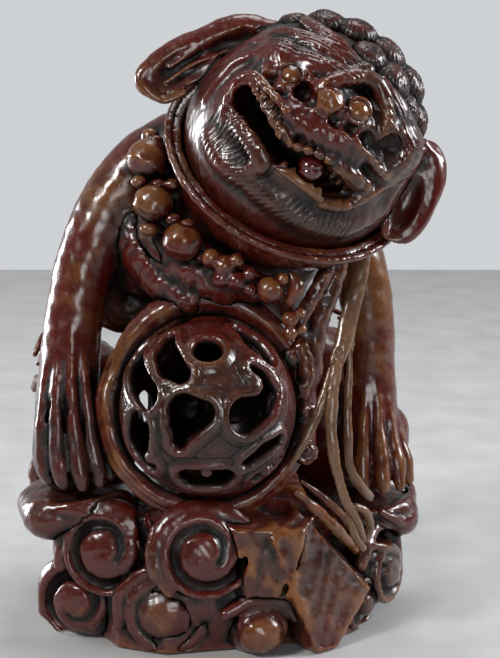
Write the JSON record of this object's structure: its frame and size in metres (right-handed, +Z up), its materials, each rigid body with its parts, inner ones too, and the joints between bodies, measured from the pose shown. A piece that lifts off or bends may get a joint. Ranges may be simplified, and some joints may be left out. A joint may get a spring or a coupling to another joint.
{
  "type": "foo dog statue",
  "caption": "Carved wooden guardian lion seated on a rocky base with a pierced brocade ball; the head turns and the loose balls roll.",
  "frame": {"origin": "centre of the flat underside of the rock base", "axes": "+Z up, -Y is the front where the ball is, +X is the animal's left side"},
  "size_m": [0.1, 0.091, 0.1514],
  "materials": {
    "lacquered_wood": "dark red-brown lacquered carved wood, glossy",
    "base_wood": "dark red-brown lacquered carved wood, worn lighter on the edges",
    "eye_wood": "polished orange-brown wood",
    "worn_wood": "yellowish worn lacquered wood",
    "pearl_wood": "high-gloss dark red lacquer",
    "inner_wood": "olive-brown bare wood"
  },
  "bodies": {
    "statue": {"ball_cradle": "lacquered_wood", "bell_1": "lacquered_wood", "bell_2": "lacquered_wood", "bell_3": "lacquered_wood", "bell_4": "lacquered_wood", "bell_5": "lacquered_wood", "brocade_ball": "lacquered_wood", "chest_scroll": "lacquered_wood", "foreleg_left": "lacquered_wood", "foreleg_right": "lacquered_wood", "harness_pendant": "lacquered_wood", "harness_strap": "lacquered_wood", "haunch_left": "lacquered_wood", "haunch_right": "lacquered_wood", "neck_collar": "lacquered_wood", "neck_peg": "lacquered_wood", "paw_ledge_left": "base_wood", "paw_ledge_right": "base_wood", "ribbon_knot": "lacquered_wood", "ribbon_left": "lacquered_wood", "ribbon_middle": "lacquered_wood", "ribbon_outer": "lacquered_wood", "ribbon_right": "lacquered_wood", "rock_base": "base_wood", "scroll_corner": "base_wood", "scroll_front_foot": "base_wood", "scroll_front_lower": "base_wood", "scroll_front_upper": "base_wood", "scroll_side_left": "base_wood", "scroll_side_lower": "base_wood", "scroll_side_upper": "base_wood", "tail": "lacquered_wood", "torso": "lacquered_wood"},
    "head": {"head": "lacquered_wood", "mane": "lacquered_wood", "ear_right": "lacquered_wood", "ear_left": "lacquered_wood", "eye_right": "eye_wood", "eye_left": "eye_wood", "teeth_upper": "worn_wood", "teeth_lower": "worn_wood"},
    "pearl": {"mouth_pearl": "pearl_wood"},
    "inner_ball": {"inner_ball": "inner_wood"}
  },
  "joints": [
    {"name": "head_turn", "type": "hinge", "parent": "statue", "child": "head", "pos_m": [0.0174, -0.0147, 0.1195], "axis": [0.2121, -0.6262, 0.7503], "range_deg": [-15, 15]},
    {"name": "pearl_roll", "type": "hinge", "parent": "head", "child": "pearl", "pos_m": [0.01287, -0.04045, 0.11657], "axis": [1, 0, 0], "continuous": true},
    {"name": "inner_ball_roll", "type": "hinge", "parent": "statue", "child": "inner_ball", "pos_m": [-0.0066, -0.021, 0.04605], "axis": [1, 0, 0], "continuous": true}
  ]
}
